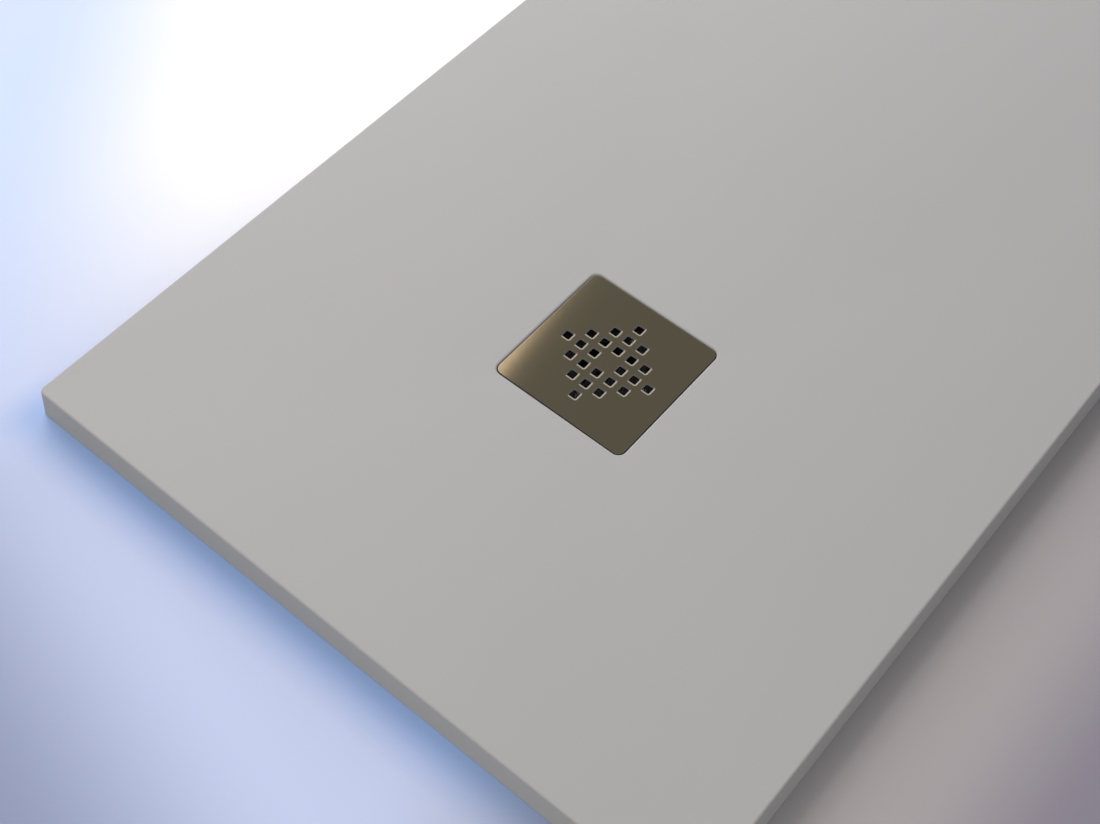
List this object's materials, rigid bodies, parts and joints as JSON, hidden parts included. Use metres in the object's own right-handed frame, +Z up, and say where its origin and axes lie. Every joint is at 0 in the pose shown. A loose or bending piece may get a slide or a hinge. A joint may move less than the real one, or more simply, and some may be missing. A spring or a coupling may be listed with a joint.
{
  "type": "shower tray",
  "caption": "Low rectangular shower tray: a thin slab with plane falls to a square perforated metal grate, over a trap with a hair basket, lift-out insert and swivelling outlet elbow.",
  "frame": {"origin": "centre of the slab's underside, the face that is bedded on the floor; the trap hangs below it in the floor's pocket", "axes": "+Z up, +X across the tray, +Y along the tray away from the drain's end"},
  "size_m": [0.7, 1.2, 0.148],
  "materials": {
    "slab_resin": "smooth matt gel coat, warm light grey",
    "grate_metal": "fine brushed, dark bronze",
    "stainless": "plain stainless",
    "insert_brass": "turned brass",
    "rubber": "black moulded rubber",
    "flange_plastic": "black moulded",
    "trap_plastic": "dark grey moulded polypropylene",
    "insert_plastic": "dark moulded polypropylene",
    "nut_plastic": "black moulded polypropylene"
  },
  "bodies": {
    "tray": {"tray_slab": "slab_resin", "waste_flange": "flange_plastic", "flange_gasket": "rubber", "clamp_screws": "stainless", "screw_inserts": "insert_brass", "neck_gasket": "rubber", "trap_head": "trap_plastic", "bowl_seal": "rubber", "trap_bowl": "trap_plastic", "outlet_seal": "rubber", "outlet_nut": "nut_plastic"},
    "grate": {"grate_plate": "grate_metal", "grate_studs": "stainless", "grate_feet": "rubber"},
    "basket": {"hair_basket": "insert_plastic"},
    "siphon": {"siphon_insert": "insert_plastic", "insert_seal": "rubber"},
    "elbow": {"outlet_elbow": "trap_plastic", "pipe_seal": "rubber", "pipe_nut": "nut_plastic"}
  },
  "joints": [
    {"name": "grate_lift", "type": "slide", "parent": "tray", "child": "grate", "axis": [0, 0, 1], "range_m": [0, 0.3]},
    {"name": "basket_lift", "type": "slide", "parent": "tray", "child": "basket", "axis": [0, 0, 1], "range_m": [0, 0.21]},
    {"name": "siphon_lift", "type": "slide", "parent": "tray", "child": "siphon", "axis": [0, 0, 1], "range_m": [0, 0.135]},
    {"name": "elbow_swivel", "type": "hinge", "parent": "tray", "child": "elbow", "pos_m": [0, -0.165, -0.034], "axis": [0, 1, 0], "range_deg": [-90, 90]}
  ],
  "couplings": [
    {"joint": "basket_lift", "follows": "grate_lift", "ratio": 0.7},
    {"joint": "siphon_lift", "follows": "grate_lift", "ratio": 0.45}
  ]
}
